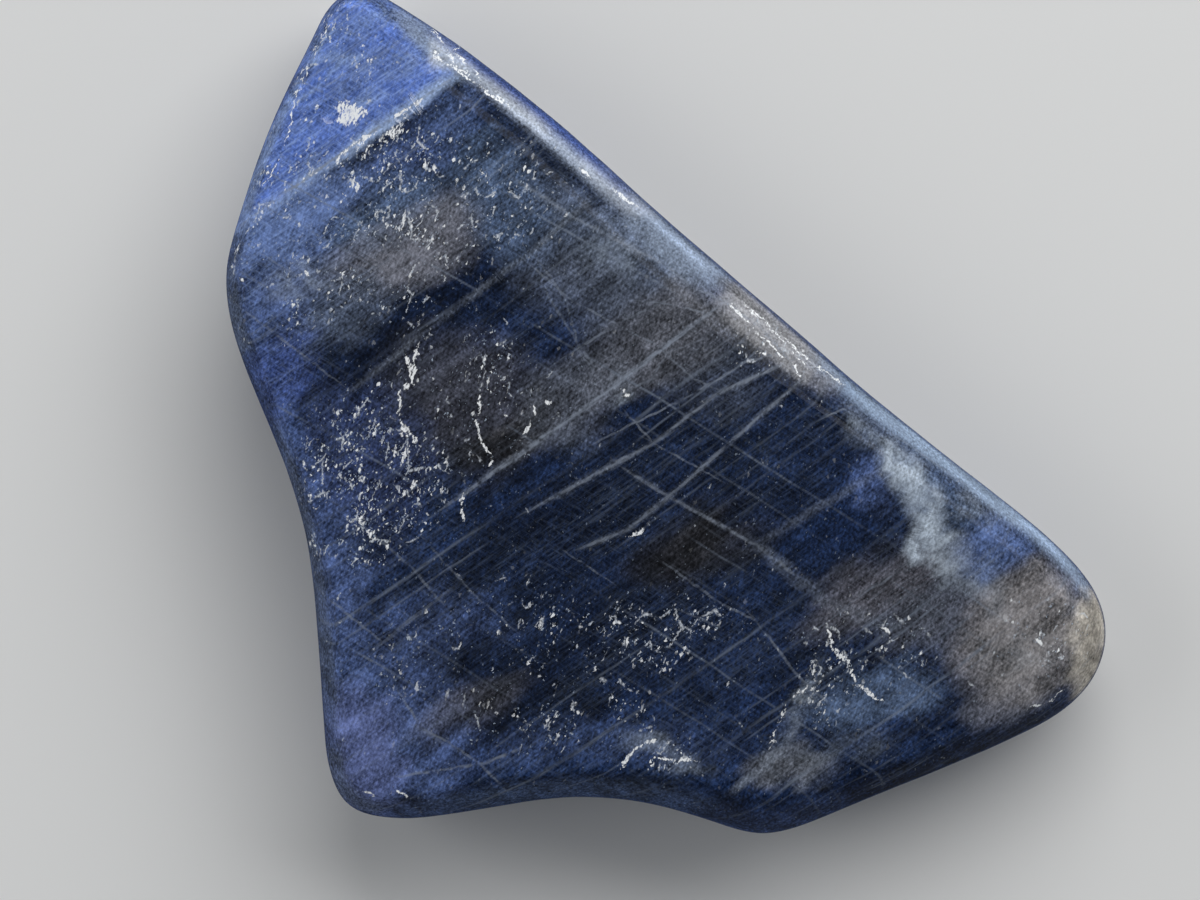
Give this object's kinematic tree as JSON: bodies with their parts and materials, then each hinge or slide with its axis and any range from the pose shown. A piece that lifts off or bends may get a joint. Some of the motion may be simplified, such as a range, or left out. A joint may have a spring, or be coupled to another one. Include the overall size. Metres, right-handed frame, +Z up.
{
  "type": "polished sapphire",
  "caption": "Palm-sized free-form sapphire slab with a shallow domed front, rounded polished sides and a flat back to rest on.",
  "frame": {"origin": "on the resting surface, under the middle of the stone's outline box", "axes": "+X along the long straight edge towards the blunt tip, +Y across the stone towards that edge, +Z up out of the polished front"},
  "size_m": [0.0798, 0.0518, 0.0165],
  "materials": {
    "polished_sapphire": "polished"
  },
  "bodies": {
    "root": {"sapphire": "polished_sapphire"}
  },
  "joints": []
}
